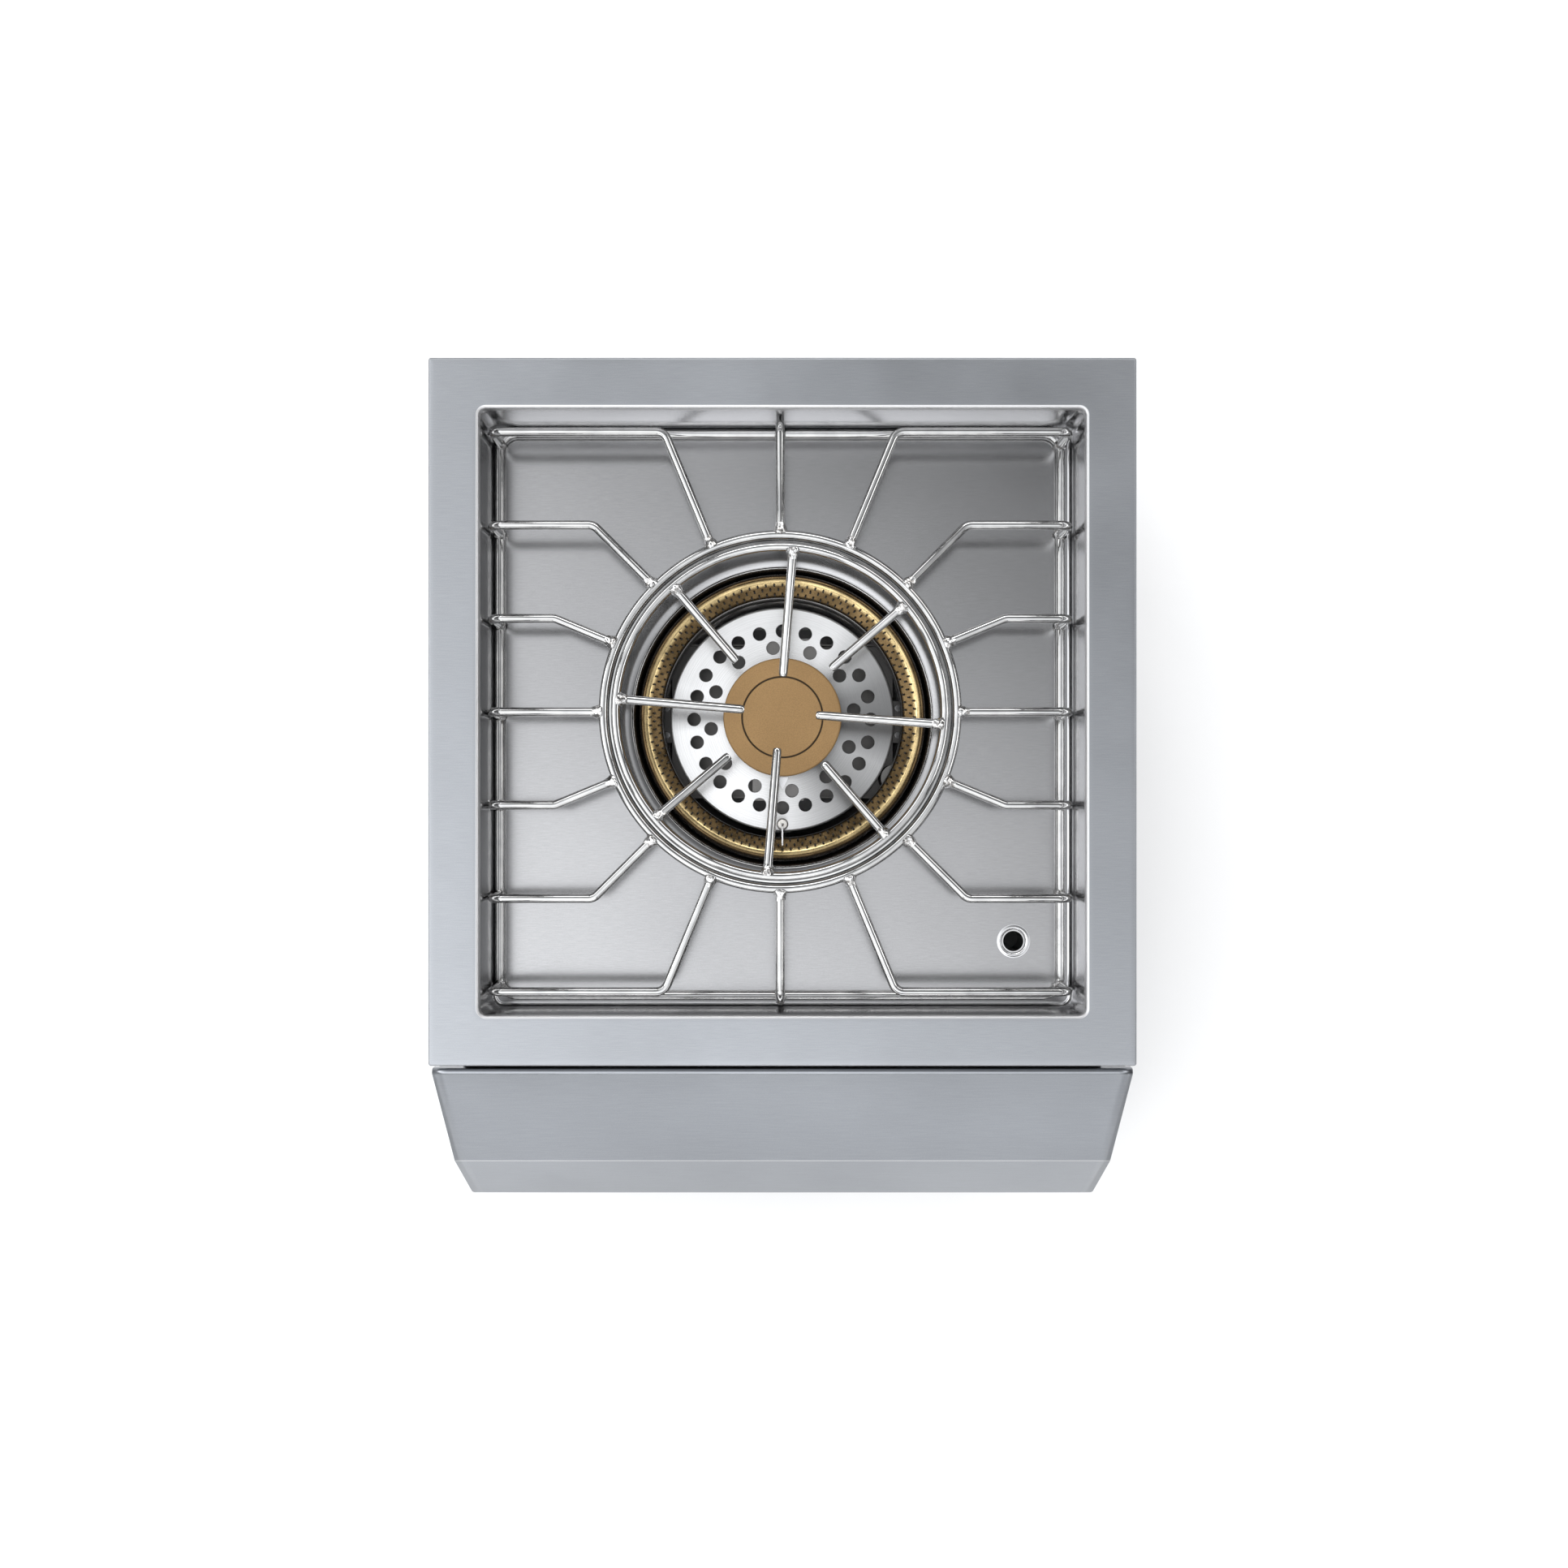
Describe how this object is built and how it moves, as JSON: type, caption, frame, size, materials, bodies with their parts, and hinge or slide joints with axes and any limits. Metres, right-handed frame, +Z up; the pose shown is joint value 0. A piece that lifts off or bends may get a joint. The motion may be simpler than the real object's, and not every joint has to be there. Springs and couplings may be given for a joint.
{
  "type": "built-in gas power burner",
  "caption": "Drop-in outdoor gas burner: square steel deck and well, welded rod grate, lift-out wok ring, brass ring burner around a capped centre burner, sloped front panel.",
  "frame": {"origin": "on the flat underside, below the middle of the overall width and depth", "axes": "+X to the right seen from the front, +Y to the rear, +Z up; the knobs face -Y"},
  "size_m": [0.61, 0.764, 0.3],
  "materials": {
    "deck_steel": "brushed stainless sheet",
    "panel_steel": "brushed stainless sheet, bluish in the open shade",
    "casing_steel": "plain stainless sheet",
    "bowl_steel": "satin stainless sheet",
    "burner_steel": "drawn steel tube and pressings",
    "rod_steel": "electropolished stainless rod",
    "burner_brass": "cast brass, browned by heat",
    "fitting_brass": "turned brass",
    "cap_bronze": "matte tan bronze coating with fine grain",
    "knob_metal": "satin plated metal",
    "trim_steel": "bright steel",
    "insulator_ceramic": null,
    "module_plastic": "moulded black plastic",
    "lead_rubber": "silicone cable sheath"
  },
  "bodies": {
    "cabinet": {"deck_frame": "deck_steel", "well_walls": "deck_steel", "well_floor": "deck_steel", "burner_bowl": "bowl_steel", "drain_spout": "bowl_steel", "casing_left": "casing_steel", "casing_right": "casing_steel", "casing_rear": "casing_steel", "base_plate": "casing_steel", "heat_shield": "casing_steel", "control_panel": "panel_steel", "panel_end_left": "panel_steel", "panel_end_right": "panel_steel", "bezel_left": "trim_steel", "bezel_right": "trim_steel", "return_spring_left": "trim_steel", "return_spring_right": "trim_steel", "valve_body_left": "fitting_brass", "valve_body_right": "fitting_brass", "orifice_left": "fitting_brass", "orifice_right": "fitting_brass", "manifold_pipe": "burner_steel", "supply_pipe": "burner_steel", "gas_inlet": "fitting_brass", "centre_mixer_tube": "burner_steel", "ring_mixer_tube": "burner_steel", "burner_bracket": "bowl_steel", "burner_posts": "bowl_steel", "ring_burner_base": "burner_steel", "ring_burner_head": "burner_brass", "centre_burner_base": "burner_steel", "centre_burner_head": "burner_brass", "baffle_disc": "bowl_steel", "igniter_insulator": "insulator_ceramic", "igniter_wire": "trim_steel", "spark_target": "trim_steel", "spark_module": "module_plastic", "ignition_lead": "lead_rubber", "casing_screws": "trim_steel", "panel_screws": "trim_steel", "bezel_screws": "trim_steel", "bracket_screws": "trim_steel"},
    "grate": {"grate_rails": "rod_steel", "grate_rods_left": "rod_steel", "grate_rods_right": "rod_steel", "grate_rods_middle": "rod_steel", "grate_ring": "rod_steel", "grate_welds": "rod_steel"},
    "wok_ring": {"wok_hoop": "rod_steel", "wok_fingers": "rod_steel", "wok_welds": "rod_steel"},
    "burner_cap": {"centre_burner_cap": "cap_bronze"},
    "collar_left": {"thrust_collar_left": "trim_steel"},
    "collar_right": {"thrust_collar_right": "trim_steel"},
    "knob_left": {"control_knob_left": "knob_metal", "valve_stem_left": "fitting_brass"},
    "knob_right": {"control_knob_right": "knob_metal", "valve_stem_right": "fitting_brass"},
    "shutter_left": {"air_shutter_left": "burner_steel"},
    "shutter_right": {"air_shutter_right": "burner_steel"}
  },
  "joints": [
    {"name": "grate_lift", "type": "slide", "parent": "cabinet", "child": "grate", "axis": [0, 0, 1], "range_m": [0, 0.15]},
    {"name": "wok_ring_lift", "type": "slide", "parent": "grate", "child": "wok_ring", "axis": [0, 0, 1], "range_m": [0, 0.08]},
    {"name": "cap_lift", "type": "slide", "parent": "cabinet", "child": "burner_cap", "axis": [0, 0, 1], "range_m": [0, 0.025]},
    {"name": "knob_push_left", "type": "slide", "parent": "cabinet", "child": "collar_left", "axis": [0, 1, 0], "range_m": [0, 0.0035], "stiffness_N_per_m": 900, "springref_m": -0.003, "deforming": ["return_spring_left"]},
    {"name": "knob_turn_left", "type": "hinge", "parent": "collar_left", "child": "knob_left", "pos_m": [-0.105, -0.358, 0.064], "axis": [0, -1, 0], "range_deg": [0, 210]},
    {"name": "shutter_turn_left", "type": "hinge", "parent": "cabinet", "child": "shutter_left", "pos_m": [-0.105, -0.267, 0.064], "axis": [0, -1, 0], "range_deg": [0, 70]},
    {"name": "knob_push_right", "type": "slide", "parent": "cabinet", "child": "collar_right", "axis": [0, 1, 0], "range_m": [0, 0.0035], "stiffness_N_per_m": 900, "springref_m": -0.003, "deforming": ["return_spring_right"]},
    {"name": "knob_turn_right", "type": "hinge", "parent": "collar_right", "child": "knob_right", "pos_m": [0.105, -0.358, 0.064], "axis": [0, -1, 0], "range_deg": [0, 210]},
    {"name": "shutter_turn_right", "type": "hinge", "parent": "cabinet", "child": "shutter_right", "pos_m": [0.105, -0.267, 0.064], "axis": [0, -1, 0], "range_deg": [0, 70]}
  ]
}
